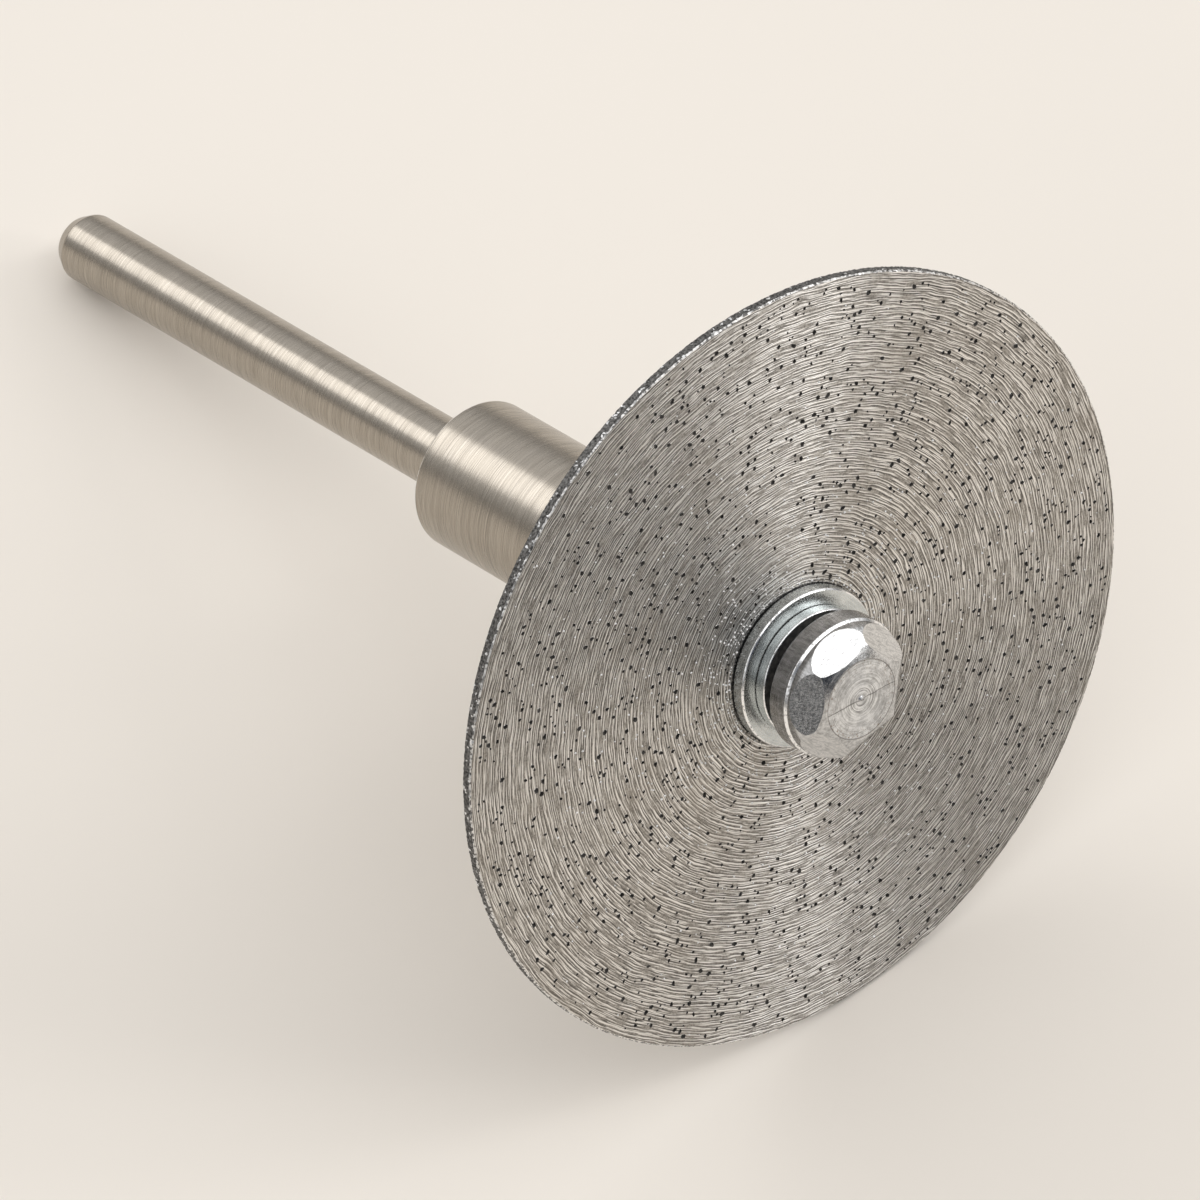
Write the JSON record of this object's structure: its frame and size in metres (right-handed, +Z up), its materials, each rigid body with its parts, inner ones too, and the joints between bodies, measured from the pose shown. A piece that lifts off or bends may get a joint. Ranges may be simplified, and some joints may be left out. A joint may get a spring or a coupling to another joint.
{
  "type": "diamond grout removal blade",
  "caption": "Thin diamond-coated disc blade clamped by a faceted screw and two washers on a steel mandrel with a round collar and a slim shank for a collet.",
  "frame": {"origin": "the middle of the base of the tool's bounding box, on the surface that it lies on", "axes": "+Z up from the surface; +X from the shank's tip towards the blade, with the tool's axis in the XZ plane and rising towards the screw head; +Y across the blade"},
  "size_m": [0.0538, 0.035, 0.0334],
  "materials": {
    "mandrel_steel": "turned stainless steel with fine rings around it",
    "diamond_steel": "grey steel with concentric scratches, pits and diamond grit",
    "washer_zinc": "bright bluish zinc plating",
    "screw_steel": "bright steel, ground facets and turning marks on the flat"
  },
  "bodies": {
    "root": {"mandrel": "mandrel_steel", "blade": "diamond_steel", "flat_washer": "washer_zinc", "spring_washer": "washer_zinc", "clamp_screw": "screw_steel"}
  },
  "joints": []
}
